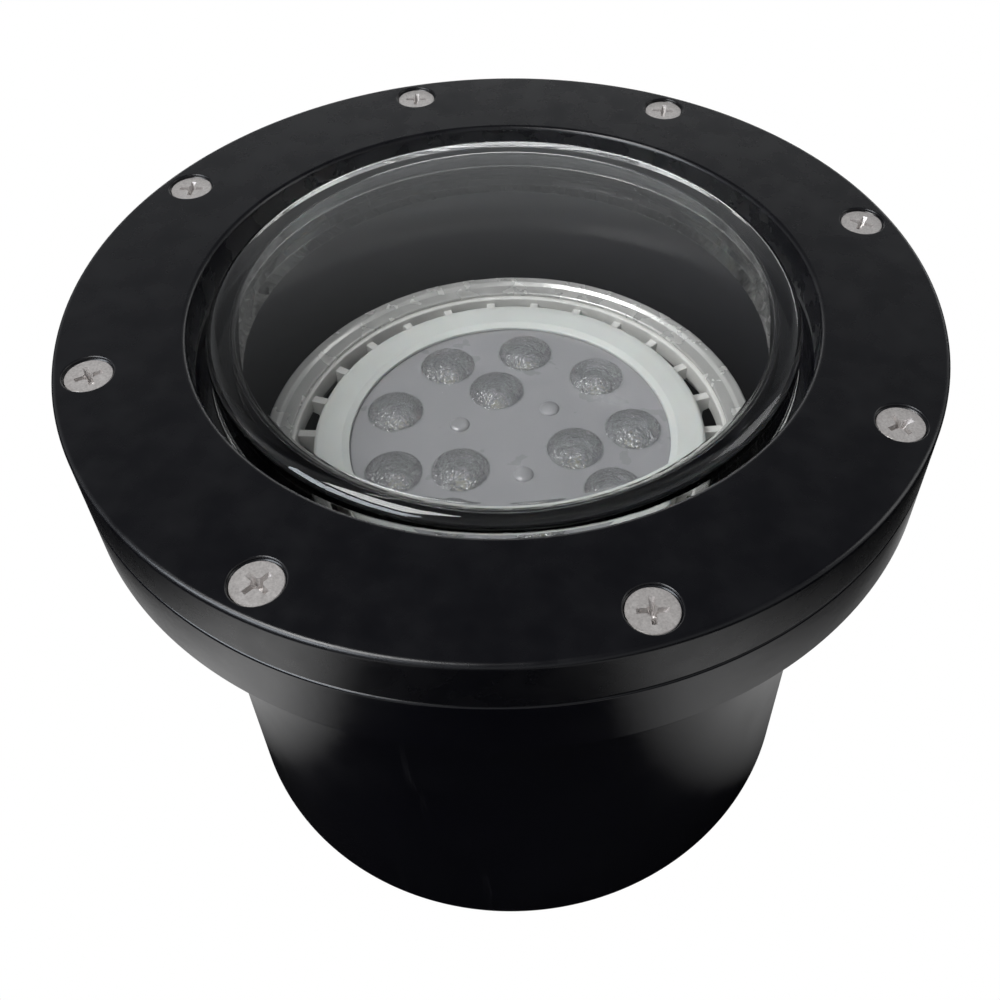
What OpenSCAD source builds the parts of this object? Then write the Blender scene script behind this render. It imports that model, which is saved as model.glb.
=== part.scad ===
// Underwater pond light: a black moulded pot with a bolted cover ring, a convex glass lens
// and a low-voltage sealed LED lamp aimed by a stainless yoke.
// Millimetres. +Z is up, the origin is the centre of the flat base, the cable gland is on +Y.

/* [Housing] */
// Outer diameter of the housing flange and of the cover ring
flange_d = 184; // [183:0.5:187]
// Outer diameter of the housing body
body_d = 151; // [150.5:0.5:152]
// Height from the base to the top of the cover ring
ring_top = 140; // [139:0.5:142]
// Thickness of the cover ring
ring_t = 12; // [11.5:0.5:13]
// Thickness of the housing flange
flange_t = 14.5; // [14:0.5:16]
// Thickness of the body wall
wall_t = 6; // [5.8:0.1:6.2]
// Thickness of the floor
floor_t = 6; // [5.5:0.5:6]

/* [Cover ring] */
// Diameter of the opening in the cover ring
opening_d = 132.4; // [131:0.2:134]
// Diameter of the circle that the cover screws lie on
screw_pcd = 170; // [169.5:0.1:170.5]
// Number of cover screws
screw_count = 8; // [4:1:12]

/* [Lens] */
// Diameter of the raised part of the lens
dome_d = 126; // [125:0.5:127]
// Height of the lens crown above the cover ring
crown_h = 3.5; // [2.5:0.5:5]
// Thickness of the glass
glass_t = 3.6; // [3:0.1:4]

/* [Lamp] */
// Height of the lamp's pivots above the base
pivot_z = 84.6; // [84:0.2:85.4]
// Number of cooling ribs round the lamp
rib_count = 27; // [18:1:30]
// Radius of the circle of outer emitters
outer_led_r = 29.4; // [29:0.1:29.8]
// Radius of the circle of inner emitters
inner_led_r = 15.9; // [15.5:0.1:16.2]
// Number of outer emitters
outer_leds = 9; // [6:1:9]
// Number of inner emitters
inner_leds = 3; // [1:1:3]

/* [Hidden] */
$fn = 96;
eps = 0.01;

// Levels and radii of the housing and its cover
flange_r = flange_d / 2;
body_r = body_d / 2;
inner_r = body_r - wall_t;
seam_z = ring_top - ring_t;
flange_z = seam_z - flange_t;
seam_gap = 0.2;
recess_r = 76;
seat_z = seam_z - 5.5;
rebate_z = seam_z + 2.8;
gasket_t = 1.75;
gasket_r = 75.2;
lens_r = 75;
lens_lo = seat_z + gasket_t;
lens_hi = rebate_z - gasket_t;
oring_r = 79.3;
oring_d = 2.36;
groove_w = 3;
groove_d = 2.2;
edge_r = 1;
seam_edge_r = 0.5;

// Cover screws, M5 with 90 degree countersunk heads, in brass inserts
screw_r = screw_pcd / 2;
screw_phase = 22.5;
shank_r = 2.45;
head_r = 4.65;
head_rim = 0.35;
head_sink = 0.6;
screw_len = 20;
clear_r = 2.75;
sink_gap = 0.35;
insert_r = 3.45;
insert_hole_r = 3.5;
insert_bore_r = 2.5;
insert_len = 10.4;

// Cable gland, M16, through the wall on +Y
gland_z = 22;
gland_face_y = 77.5;
gland_inner_y = 66.5;
gland_thread_r = 7.9;
gland_hole_r = 8;
gland_hex = 20;
cable_r = 3.5;
gland_hex_y = gland_face_y + 1.6;
gland_collar = 5.4;
nut_y = gland_hex_y + gland_collar + 0.5;
nut_len = 13;

// Yoke, a bent strip that turns on the floor boss and carries the lamp on two pivots
boss_r = 10;
boss_z = 11;
yoke_z = 12;
yoke_t = 2;
yoke_w = 16;
foot_x = 44;
arm_x = 59.6;
arm_bend_z = 58;
pivot_r = 2;
pivot_hole_r = 2.08;
bolt_r = 2.5;
bolt_hole_r = 2.58;

// Lamp, whose levels are measured from the axis of its pivots
face = 10.2;
ring_r = 58.4;
ring_t_sheet = 1.2;
rim_r = 56.9;
rim_in_r = 51.3;
rim_t = 5.2;
bezel_r = 46.5;
bezel_in_r = 38.2;
cup_r = 46.8;
cup_floor = face - 10.2;
board_r = 42.4;
pad_t = 0.4;
board_t = 1.6;
board_top = cup_floor + pad_t + board_t;
optic_top = face - 0.2;
optic_t = 2;
optic_r = 42.4;
bump_r = 6.9;
bump_h = 2.2;
pip_r = 2.4;
pip_h = 0.9;
pip_circle_r = 12.9;
led_phase = 9;
clip_angles = [90, 210, 330];
board_screw_r = 36.6;
terminal_x = 9;
lug_z = -46.1;
driver_z = -25;

// Leads, from the terminal block to the lamp's two rear terminals
lead_d = 1.8;
lead_sides = 8;
lead_steps = 5;
live_route = [[19.5, -8, 19], [19.5, -14, 19], [18.5, -22, 21], [15, -26, 28], [11, -23, 36],
              [9, -17, 38.9], [9, -11, 38.9]];
return_route = [[28.5, -8, 19], [28.5, -15, 19], [25, -25, 20], [14, -33, 25], [1, -34, 31],
                [-6, -28, 36], [-9, -19, 38.8], [-9, -11, 38.9]];

// ---- Shared shapes ----

// Copies the children round the axis
module round_copies(count, radius, phase = 0) {
    for (i = [0 : count - 1])
        rotate([0, 0, phase + i * 360 / count]) translate([radius, 0, 0]) children();
}

// A rectangle from (x0, y0) to (x1, y1) with its corners rounded, for turning
module soft_rect(x0, y0, x1, y1, r) {
    translate([x0 + r, y0]) square([x1 - x0 - 2 * r, y1 - y0]);
    translate([x0, y0 + r]) square([x1 - x0, y1 - y0 - 2 * r]);
    for (x = [x0 + r, x1 - r], y = [y0 + r, y1 - r]) translate([x, y]) circle(r, $fn = 32);
}

// A flat ring standing on z
module flat_ring(r_in, r_out, z, h) {
    rotate_extrude() translate([r_in, z]) square([r_out - r_in, h]);
}

// A cylinder between two heights
module post(r, z0, z1) {
    translate([0, 0, z0]) cylinder(r = r, h = z1 - z0);
}

// A hexagonal prism of a given width across its flats, standing on z
module hex(across, z0, z1) {
    translate([0, 0, z0]) cylinder(d = across / cos(30), h = z1 - z0, $fn = 6);
}

// The recess of a Phillips screw, cut downwards from the origin
module cross_recess(reach, depth) {
    intersection() {
        union() {
            for (a = [0, 90]) rotate([0, 0, a])
                translate([-reach, -reach * 0.22, -depth]) cube([2 * reach, reach * 0.44, depth + 1]);
            translate([0, 0, -depth]) cylinder(r1 = reach * 0.2, r2 = reach * 0.42, h = depth + eps);
        }
        translate([0, 0, -depth]) cylinder(r1 = reach * 0.3, r2 = reach, h = depth + eps);
    }
}

// A small pan-head screw pointing down, its head standing on the origin
module pan_screw(r, length, head, head_h) {
    difference() {
        union() {
            translate([0, 0, -length]) cylinder(r = r, h = length + eps);
            rotate_extrude() intersection() {
                soft_rect(-head, 0, head, head_h, head_h * 0.35);
                square([head, head_h]);
            }
        }
        translate([0, 0, head_h]) cross_recess(head * 0.55, head_h * 0.8);
    }
}

// A cap of a sphere standing on z, of a given base radius and height
module cap(base_r, h, z) {
    ball_r = (base_r * base_r + h * h) / (2 * h);
    intersection() {
        translate([0, 0, z + h - ball_r]) sphere(ball_r);
        post(base_r + 1, z - 0.5, z + h + 1);
    }
}

// ---- Leads ----

// A point on the smooth curve through four points, between the middle two
function on_curve(a, b, c, d, t) =
    0.5 * (2 * b + (c - a) * t + (2 * a - 5 * b + 4 * c - d) * t * t
           + (3 * b - a - 3 * c + d) * t * t * t);
function smooth_route(p) =
    let (n = len(p))
    [for (i = [0 : n - 2], k = [0 : lead_steps - 1])
        on_curve(p[max(i - 1, 0)], p[i], p[i + 1], p[min(i + 2, n - 1)], k / lead_steps),
     p[n - 1]];
function unit(v) = v / norm(v);
function direction(p, i) = unit(p[min(i + 1, len(p) - 1)] - p[max(i - 1, 0)]);
// A corner of the tube's ring i, square to the route
function ring_point(p, i, k) =
    let (t = direction(p, i), side = unit(cross(t, [0.31, 0.17, 1])), up = cross(t, side),
         a = 360 * k / lead_sides)
    p[i] + lead_d / 2 * (cos(a) * side + sin(a) * up);

module lead(route) {
    p = smooth_route(route);
    n = len(p);
    s = lead_sides;
    points = [for (i = [0 : n - 1], k = [0 : s - 1]) ring_point(p, i, k)];
    walls = [for (i = [0 : n - 2], k = [0 : s - 1])
        [i * s + k, i * s + (k + 1) % s, (i + 1) * s + (k + 1) % s, (i + 1) * s + k]];
    near_end = [for (k = [s - 1 : -1 : 0]) k];
    far_end = [for (k = [0 : s - 1]) (n - 1) * s + k];
    polyhedron(points = points, faces = concat(walls, [near_end, far_end]), convexity = 4);
}

// ---- Housing and what is fixed to it ----

module housing_profile() {
    difference() {
        union() {
            intersection() {
                soft_rect(-body_r, 0, body_r, flange_z + 8, 2.5);
                square([body_r, flange_z + 4]);
            }
            soft_rect(body_r - 8, flange_z, flange_r, seam_z, seam_edge_r);
            translate([body_r - eps, flange_z - 2]) difference() {
                square([2, 2 + eps]);
                translate([2, 0]) circle(2, $fn = 32);
            }
        }
        translate([-1, floor_t]) square([inner_r + 1, ring_top]);
        translate([-1, seat_z]) square([recess_r + 1, ring_top]);
        translate([oring_r - groove_w / 2, seam_z - groove_d]) square([groove_w, groove_d + 1]);
    }
}

module housing() {
    color([0.05, 0.05, 0.06]) difference() {
        union() {
            rotate_extrude() housing_profile();
            post(boss_r, floor_t - 1, boss_z);
            translate([0, gland_face_y, gland_z]) rotate([90, 0, 0]) cylinder(r = 16, h = 7);
            translate([0, gland_inner_y + 5, gland_z]) rotate([90, 0, 0]) cylinder(r = 12.5, h = 5);
        }
        round_copies(screw_count, screw_r, screw_phase)
            post(insert_hole_r, seam_z - insert_len - 0.6, seam_z + 1);
        post(3.25, boss_z - 7, boss_z + 1);
        translate([0, gland_face_y + 1, gland_z]) rotate([90, 0, 0]) cylinder(r = gland_hole_r, h = 20);
    }
}

module flange_inserts() {
    color("gold") round_copies(screw_count, screw_r, screw_phase) difference() {
        post(insert_r, seam_z - insert_len - 0.1, seam_z - 0.1);
        post(insert_bore_r, seam_z - 20, seam_z + 1);
        flat_ring(insert_r - 0.4, insert_r + 1, seam_z - insert_len / 2 - 0.9, 1.6);
    }
}

module flange_seal() {
    color([0.12, 0.12, 0.12]) rotate_extrude()
        translate([oring_r, seam_z - groove_d + oring_d / 2]) circle(d = oring_d, $fn = 32);
}

module lens_gasket_lower() {
    color([0.15, 0.15, 0.15]) flat_ring(inner_r + 0.3, gasket_r, seat_z, gasket_t);
}

module yoke_insert() {
    color("gold") difference() {
        post(3.2, boss_z - 6.8, boss_z - 0.1);
        post(bolt_r + 0.05, boss_z - 8, boss_z + 1);
    }
}

module yoke_bolt() {
    color("silver") translate([0, 0, yoke_z + yoke_t + 0.05]) pan_screw(bolt_r, 9, 4.6, 3.2);
}

module yoke_washer() {
    color("ivory") flat_ring(bolt_r + 0.1, 8, boss_z, yoke_z - boss_z - 0.05);
}

// ---- Cable gland, drawn along +Z from the inner face of the wall and laid along +Y ----

// Turns a gland piece drawn along +Z at distances from the axis into place on +Y
module on_gland() {
    translate([0, 0, gland_z]) rotate([-90, 0, 0]) children();
}

module gland_washer() {
    color([0.12, 0.12, 0.12]) on_gland() flat_ring(gland_thread_r + 0.1, 11.5, gland_face_y, 1.5);
}

module gland_body() {
    color([0.1, 0.1, 0.1]) on_gland() difference() {
        union() {
            post(gland_thread_r, gland_inner_y - 5.5, gland_hex_y + 1);
            hex(gland_hex, gland_hex_y, gland_hex_y + gland_collar);
            post(7.5, gland_hex_y, gland_hex_y + gland_collar + 8);
        }
        post(4.2, gland_inner_y - 6, gland_hex_y + gland_collar + 9);
        post(6, gland_hex_y + 1, gland_hex_y + gland_collar + 9);
    }
}

module gland_locknut() {
    color([0.1, 0.1, 0.1]) on_gland() difference() {
        hex(gland_hex, gland_inner_y - 4, gland_inner_y - 0.05);
        post(gland_thread_r + 0.05, gland_inner_y - 5, gland_inner_y + 1);
    }
}

module gland_seal() {
    color([0.2, 0.2, 0.2]) on_gland() difference() {
        post(5.9, gland_hex_y + 1.1, gland_hex_y + gland_collar + 8);
        post(cable_r, gland_hex_y, gland_hex_y + gland_collar + 9);
    }
}

module gland_nut() {
    color([0.1, 0.1, 0.1]) on_gland() difference() {
        union() {
            hex(gland_hex, nut_y, nut_y + nut_len - 5);
            translate([0, 0, nut_y + nut_len - 5]) cylinder(r1 = 9.6, r2 = 6.4, h = 5);
        }
        post(7.56, nut_y - 1, nut_y + nut_len - 5);
        post(4.4, nut_y - 1, nut_y + nut_len + 1);
    }
}

// ---- Cover ----

module cover_ring() {
    sink_top = ring_top - head_sink - head_rim + sink_gap;
    color([0.05, 0.05, 0.06]) difference() {
        rotate_extrude() difference() {
            union() {
                soft_rect(opening_d / 2, seam_z + seam_gap, flange_r, ring_top, edge_r);
                soft_rect(flange_r - 6, seam_z + seam_gap, flange_r, seam_z + 5, seam_edge_r);
            }
            translate([0, seam_z - 1]) square([recess_r, rebate_z - seam_z + 1]);
        }
        round_copies(screw_count, screw_r, screw_phase) {
            post(clear_r, seam_z - 1, ring_top + 1);
            translate([0, 0, sink_top - head_r - sink_gap + clear_r])
                cylinder(r1 = clear_r, r2 = head_r + sink_gap, h = head_r + sink_gap - clear_r);
            post(head_r + sink_gap, sink_top - eps, ring_top + 1);
        }
    }
}

module cover_screw() {
    cone_h = head_r - shank_r;
    difference() {
        union() {
            post(head_r, -head_rim, 0);
            translate([0, 0, -head_rim - cone_h]) cylinder(r1 = shank_r, r2 = head_r, h = cone_h);
            post(shank_r, -screw_len, -head_rim - cone_h + eps);
        }
        cross_recess(2.5, 2.4);
    }
}

module cover_screws() {
    color("silver") for (i = [0 : screw_count - 1])
        rotate([0, 0, screw_phase + i * 360 / screw_count])
            translate([screw_r, 0, ring_top - head_sink]) rotate([0, 0, 31 * i]) cover_screw();
}

module lens_gasket_upper() {
    color([0.15, 0.15, 0.15]) flat_ring(opening_d / 2 + 0.3, gasket_r, lens_hi, gasket_t);
}

// Half the section of the lens: a flange, a short wall and a shallow dome
module lens_profile() {
    dome_r = dome_d / 2;
    crown_z = ring_top + crown_h;
    shoulder_r = dome_r - 3;
    shoulder_z = crown_z - 4.2;
    outer_R = (pow(shoulder_r, 2) + 4.2 * 4.2) / (2 * 4.2);
    inner_R = outer_R - glass_t;
    in_r = dome_r - 2.8;
    corner_z = shoulder_z - glass_t + 0.2;
    difference() {
        union() {
            soft_rect(in_r - 4, lens_lo, lens_r, lens_hi, 1);
            intersection() {
                union() {
                    translate([0, lens_lo]) square([dome_r, shoulder_z - 3 - lens_lo]);
                    translate([0, lens_lo]) square([shoulder_r, shoulder_z - lens_lo]);
                    translate([shoulder_r, shoulder_z - 3]) circle(3, $fn = 48);
                    intersection() {
                        translate([0, crown_z - outer_R]) circle(outer_R, $fn = 720);
                        translate([0, shoulder_z - eps]) square([shoulder_r, 6]);
                    }
                }
                translate([0, lens_lo]) square([dome_r, 40]);
            }
        }
        translate([-1, lens_lo - 1]) square([in_r + 1, corner_z - 1.5 - lens_lo + 1]);
        translate([-1, lens_lo - 1]) square([in_r - 1.5 + 1, corner_z - lens_lo + 1]);
        translate([in_r - 1.5, corner_z - 1.5]) circle(1.5, $fn = 32);
        intersection() {
            translate([0, crown_z - outer_R]) circle(inner_R, $fn = 720);
            translate([0, corner_z - eps]) square([in_r - 1.5, 6]);
        }
    }
}

module lens() {
    color([0.8, 0.9, 0.9, 0.35]) rotate_extrude($fn = 128) lens_profile();
}

// ---- Yoke ----

module yoke() {
    arm_out = arm_x + yoke_t;
    lean = yoke_t * 1.1;
    section = [[-foot_x, yoke_z], [foot_x, yoke_z], [arm_out, arm_bend_z], [arm_out, pivot_z + 8],
               [arm_x, pivot_z + 8], [arm_x, arm_bend_z + 0.6], [foot_x - lean + 0.9, yoke_z + yoke_t],
               [lean - 0.9 - foot_x, yoke_z + yoke_t], [-arm_x, arm_bend_z + 0.6],
               [-arm_x, pivot_z + 8], [-arm_out, pivot_z + 8], [-arm_out, arm_bend_z]];
    color("silver") difference() {
        intersection() {
            translate([0, yoke_w / 2, 0]) rotate([90, 0, 0]) linear_extrude(yoke_w) polygon(section);
            union() {
                translate([-arm_out - 1, -yoke_w / 2, 0]) cube([2 * arm_out + 2, yoke_w, pivot_z]);
                translate([-arm_out - 1, 0, pivot_z]) rotate([0, 90, 0])
                    cylinder(d = yoke_w, h = 2 * arm_out + 2);
            }
        }
        post(bolt_hole_r, 0, 30);
        translate([-arm_out - 2, 0, pivot_z]) rotate([0, 90, 0])
            cylinder(r = pivot_hole_r, h = 2 * arm_out + 4);
    }
}

module terminal_block() {
    color("ivory") difference() {
        translate([14, -8, yoke_z + yoke_t + 0.05]) cube([20, 16, 9.6]);
        for (x = [19.5, 28.5]) {
            translate([x, 9, 19]) rotate([90, 0, 0]) cylinder(r = 1.2, h = 18);
            for (y = [-4.5, 4.5]) translate([x, y, 0]) post(2, 20.6, 25);
        }
    }
}

module terminal_screws() {
    color("silver") for (x = [19.5, 28.5], y = [-4.5, 4.5]) translate([x, y, 20.7])
        difference() {
            cylinder(r = 1.9, h = 2.2);
            translate([-2.5, -0.3, 1.4]) cube([5, 0.6, 2]);
        }
}

module lead_live() { color("firebrick") lead(live_route); }
module lead_return() { color([0.1, 0.1, 0.1]) lead(return_route); }

// ---- Lamp, with its levels measured from the axis of its pivots ----

// Lifts a piece of the lamp from the pivot axis to its place above the base
module on_lamp() {
    translate([0, 0, pivot_z]) children();
}

// Places the children on both pivots, with +Z pointing outwards along the pivot axis
module on_pivots() {
    for (side = [0, 180]) rotate([0, 0, side]) rotate([0, 90, 0]) children();
}

// Places the children at the screws of the ring's clips, with +Z pointing outwards
module on_clips() {
    for (a = clip_angles) rotate([0, 0, a]) rotate([0, 90, 0]) children();
}

module lamp_ring() {
    color([0.8, 0.8, 0.8]) on_lamp() difference() {
        rotate_extrude() {
            translate([ring_r - ring_t_sheet, -4]) square([ring_t_sheet, face + 5]);
            soft_rect(rim_in_r + 0.9, face + 0.1, ring_r, face + 1.3, 0.5);
            soft_rect(ring_r - 2.4, face + 0.1, ring_r, face + 2, 0.7);
        }
        on_pivots() post(pivot_r + 0.05, ring_r - 4, ring_r + 4);
        on_clips() post(1.55, ring_r - 4, ring_r + 4);
    }
}

module pivot_screws() {
    head_x = arm_x + yoke_t + 0.1;
    color("silver") on_lamp() on_pivots()
        translate([0, 0, head_x]) pan_screw(pivot_r, head_x - 52.8, 3.6, 2);
}

module pivot_nuts() {
    color("silver") on_lamp() on_pivots() difference() {
        hex(7, 53.6, ring_r - ring_t_sheet - 0.3);
        post(pivot_r + 0.05, 50, 60);
    }
}

module pivot_washers() {
    color("ivory") on_lamp() on_pivots()
        flat_ring(pivot_r + 0.1, 4.5, ring_r + 0.1, arm_x - ring_r - 0.2);
}

module ring_clips() {
    clip_x = ring_r - ring_t_sheet - 1.4;
    color("silver") on_lamp() difference() {
        for (a = clip_angles) rotate([0, 0, a]) {
            translate([clip_x, -4, -3.5]) cube([1, 8, 8.3]);
            translate([52.4, -4, 3.8]) cube([clip_x + 1 - 52.4, 8, 1]);
        }
        on_clips() post(1.55, 50, 60);
    }
}

module clip_screws() {
    color("silver") on_lamp() on_clips() translate([0, 0, ring_r + 0.05]) pan_screw(1.5, 4.4, 2.6, 1.5);
}

// One cooling rib, standing in the plane of the lamp's axis
module rib() {
    rib_t = 2.2;
    outline = [[cup_r - 1, face - 1.4], [rim_in_r + 0.5, face - 1.4], [rim_in_r + 0.5, face - rim_t],
               [50, face - rim_t - 0.6], [50, 0], [34, -31], [28.5, -31], [44, -7]];
    translate([0, rib_t / 2, 0]) rotate([90, 0, 0]) linear_extrude(rib_t) polygon(outline);
}

module lamp_heatsink() {
    cup = [[0, cup_floor], [cup_r - 2.5, cup_floor], [cup_r - 2.5, face - 1.2], [cup_r, face - 1.2],
           [cup_r, -5], [29.5, -33], [26, -33], [26, -7], [23, -4], [0, -4]];
    color("whitesmoke") on_lamp() difference() {
        union() {
            rotate_extrude() polygon(cup);
            rotate_extrude() soft_rect(rim_in_r, face - rim_t, rim_r, face, 0.8);
            round_copies(rib_count, 0, led_phase) rib();
        }
        post(3, -7, 3);
        round_copies(3, board_screw_r, led_phase + 20) post(1.55, -3.2, 3);
    }
}

module lamp_bezel() {
    color("white") on_lamp() rotate_extrude() {
        soft_rect(bezel_in_r, face - 0.1, bezel_r, face + 1.8, 0.85);
        translate([optic_r + 0.2, board_top + 0.1]) square([1.6, face - board_top + 0.5]);
    }
}

// Places the children at every emitter
module at_leds() {
    round_copies(outer_leds, outer_led_r, led_phase) children();
    round_copies(inner_leds, inner_led_r, led_phase + 100) children();
}

module lamp_optic() {
    color([0.85, 0.88, 0.9, 0.5]) on_lamp() {
        post(optic_r, optic_top - optic_t, optic_top);
        at_leds() {
            cap(bump_r, bump_h, optic_top);
            translate([0, 0, board_top + 1.7])
                cylinder(r1 = 2.8, r2 = bump_r - 0.2, h = optic_top - optic_t - board_top - 1.6);
        }
        round_copies(3, pip_circle_r, led_phase + 40) cap(pip_r, pip_h, optic_top);
    }
}

// A disc over the cup's floor with holes for the wires and the board's screws
module board_disc(z, t) {
    difference() {
        post(board_r, z, z + t);
        post(3, z - 1, z + t + 1);
        round_copies(3, board_screw_r, led_phase + 20) post(1.7, z - 1, z + t + 1);
    }
}

module thermal_pad() {
    color("gray") on_lamp() board_disc(cup_floor, pad_t);
}

module led_board() {
    color("white") on_lamp() board_disc(cup_floor + pad_t, board_t);
}

module led_emitters() {
    color("khaki") on_lamp() at_leds() {
        translate([-1.75, -1.75, board_top]) cube([3.5, 3.5, 0.7]);
        cap(1.4, 0.8, board_top + 0.7);
    }
}

module board_screws() {
    color("silver") on_lamp() round_copies(3, board_screw_r, led_phase + 20)
        translate([0, 0, board_top]) pan_screw(1.5, 5, 2.5, 1.4);
}

// Places the children at the two terminals
module at_terminals() {
    for (side = [-1, 1]) translate([side * terminal_x, 0, 0]) children();
}

module driver_board() {
    color("darkgreen") on_lamp() difference() {
        post(22.5, driver_z, driver_z + 1.6);
        at_terminals() post(1.1, driver_z - 1, driver_z + 3);
    }
}

module driver_parts() {
    color([0.15, 0.15, 0.2]) on_lamp() translate([0, 0, driver_z + 1.6]) {
        translate([-10, 9, 0]) post(5, 0, 12.4);
        translate([9, 10, 0]) post(4, 0, 10.4);
        translate([3, -17, 0]) cube([13, 9, 10]);
        translate([-16, -13, 0]) cube([12, 6, 4]);
        translate([-2.5, 0, 0]) cube([5, 5, 1.6]);
    }
}

module lamp_base() {
    color([0.92, 0.92, 0.9]) on_lamp() difference() {
        rotate_extrude() {
            polygon([[0, -44], [18, -44], [26.5, -37.5], [29.4, -33.1], [25.4, -33.1], [23.8, -36],
                     [17, -41.4], [0, -41.4]]);
            translate([23.6, -35]) square([2.3, 8]);
        }
        at_terminals() post(2.05, -47, -37);
    }
}

module lamp_terminals() {
    color("gold") on_lamp() at_terminals() {
        translate([0, 0, lug_z - 1]) mirror([0, 0, 1]) pan_screw(1.95, 9, 3.8, 2);
        post(0.9, lug_z + 8, driver_z + 3.2);
        difference() {
            translate([-4, -4, lug_z + 1.2]) cube([8, 8, 0.85]);
            post(2, lug_z, lug_z + 3);
        }
    }
}

module lead_lugs() {
    color([0.75, 0.7, 0.6]) on_lamp() at_terminals() difference() {
        union() {
            post(3.6, lug_z, lug_z + 0.8);
            translate([-1.5, -7, lug_z]) cube([3, 5, 0.8]);
            translate([0, -6, lug_z + 0.4]) rotate([90, 0, 0]) cylinder(r = 1.5, h = 5);
        }
        post(2, lug_z - 1, lug_z + 2);
        translate([0, -7, lug_z + 0.4]) rotate([90, 0, 0]) cylinder(r = 0.95, h = 5);
    }
}

housing();
flange_inserts();
flange_seal();
lens_gasket_lower();
yoke_insert();
gland_washer();
gland_body();
gland_locknut();
gland_seal();
yoke_bolt();
yoke_washer();
cover_ring();
cover_screws();
lens_gasket_upper();
lens();
gland_nut();
yoke();
terminal_block();
terminal_screws();
lead_live();
lead_return();
lamp_ring();
pivot_screws();
pivot_nuts();
pivot_washers();
ring_clips();
clip_screws();
lamp_heatsink();
lamp_bezel();
lamp_optic();
thermal_pad();
led_board();
led_emitters();
board_screws();
driver_board();
driver_parts();
lamp_base();
lamp_terminals();
lead_lugs();
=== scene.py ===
"""Looks of an underwater pond light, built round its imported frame. Outlines are in millimetres,
in the frame's own axes: +Z up, the gland on +Y, the lamp's pivots on X."""

import math
import random

import bmesh
import bpy
from mathutils import Matrix, Vector


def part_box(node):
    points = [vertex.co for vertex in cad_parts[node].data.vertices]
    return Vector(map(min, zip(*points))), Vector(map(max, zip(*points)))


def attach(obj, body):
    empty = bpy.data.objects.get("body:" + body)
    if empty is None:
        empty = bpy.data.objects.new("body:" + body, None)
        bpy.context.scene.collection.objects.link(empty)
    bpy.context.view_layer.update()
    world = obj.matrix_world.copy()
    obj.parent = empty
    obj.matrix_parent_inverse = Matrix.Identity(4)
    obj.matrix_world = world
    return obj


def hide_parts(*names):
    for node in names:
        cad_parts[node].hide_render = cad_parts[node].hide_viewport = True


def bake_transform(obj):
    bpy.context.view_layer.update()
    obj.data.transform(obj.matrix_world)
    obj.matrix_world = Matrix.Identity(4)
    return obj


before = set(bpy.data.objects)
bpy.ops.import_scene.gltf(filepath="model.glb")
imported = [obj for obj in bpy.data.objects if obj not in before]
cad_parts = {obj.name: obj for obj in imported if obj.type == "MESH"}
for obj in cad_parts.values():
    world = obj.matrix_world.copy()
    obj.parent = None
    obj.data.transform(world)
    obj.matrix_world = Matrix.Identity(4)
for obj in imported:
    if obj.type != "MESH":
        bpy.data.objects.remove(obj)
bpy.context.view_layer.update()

MM = 0.001


def top(node):
    """The height of a node's highest point, in millimetres."""
    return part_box(node)[1].z / MM


def bottom(node):
    """The height of a node's lowest point, in millimetres."""
    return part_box(node)[0].z / MM


def reach(node):
    """How far a node reaches from the axis along X, in millimetres."""
    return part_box(node)[1].x / MM


# ---- Sizes, from the frame where it gives them ----

FLANGE_R = reach("cover_ring")
RING_TOP = top("cover_ring")
RING_LOW = bottom("cover_ring")
SEAM = top("housing")
FLANGE_T = 14.5
FLANGE_LOW = SEAM - FLANGE_T
BODY_R = 75.5
WALL = 6
INNER_R = BODY_R - WALL
RECESS_R = 76
SEAT = bottom("lens_gasket_lower")
REBATE = top("lens_gasket_upper")
OPENING_R = 66.2
SEAL_R = 1.18
GROOVE_R = reach("flange_seal") - SEAL_R
FLOOR = 6
BOSS_R = 10
BOSS_TOP = bottom("yoke_washer")

SCREWS = 8
SCREW_R = 85
SCREW_PHASE = math.radians(22.5)
SCREW_TOP = top("cover_screws")
HEAD_R = 4.65
SHANK_R = 2.45
HEAD_LAND = 0.35
SINK_R = 5.0
CLEAR_R = 2.75

LENS_R = reach("lens")
LENS_TOP = top("lens")
LENS_LOW = bottom("lens")
LENS_SHELF = bottom("lens_gasket_upper")
DOME_R = 63
DOME_BALL = 430
GLASS = 3.6
DOME_INNER_R = 57.8
BASE_INNER_R = 57.1

GLAND_Z = (bottom("gland_body") + top("gland_body")) / 2
GLAND_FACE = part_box("gland_washer")[0].y / MM
GLAND_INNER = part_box("gland_locknut")[1].y / MM + 0.05
CABLE_R = 3.5
GLAND_HEX = 20

FACE = top("lamp_heatsink")
PIVOT_Z = FACE - 10.2
RIM_R = reach("lamp_heatsink")
RIM_INNER_R = 51.3
BEZEL_R = reach("lamp_bezel")
BEZEL_INNER_R = 38.2
BEZEL_TOP = top("lamp_bezel")
CUP_R = 46.8
RIBS = 27
RIB_T = 2.2
RING_R = reach("lamp_ring")
OPTIC_R = 42.4
OPTIC_TOP = FACE - 0.2
LED_PHASE = math.radians(9)
OUTER_LED_R = 29.4
INNER_LED_R = 15.9
BUMP_R = 6.9
BUMP_H = 2.2
PIP_R = 2.4
PIP_CIRCLE_R = 12.9
BOARD_TOP = top("led_board")


# ---- Outlines ----

def arc(x, z, r, start, end, steps=8):
    """Points on an arc about (x, z), between two angles in degrees."""
    turn = [math.radians(start + (end - start) * k / steps) for k in range(steps + 1)]
    return [(x + r * math.cos(a), z + r * math.sin(a)) for a in turn]


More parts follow.
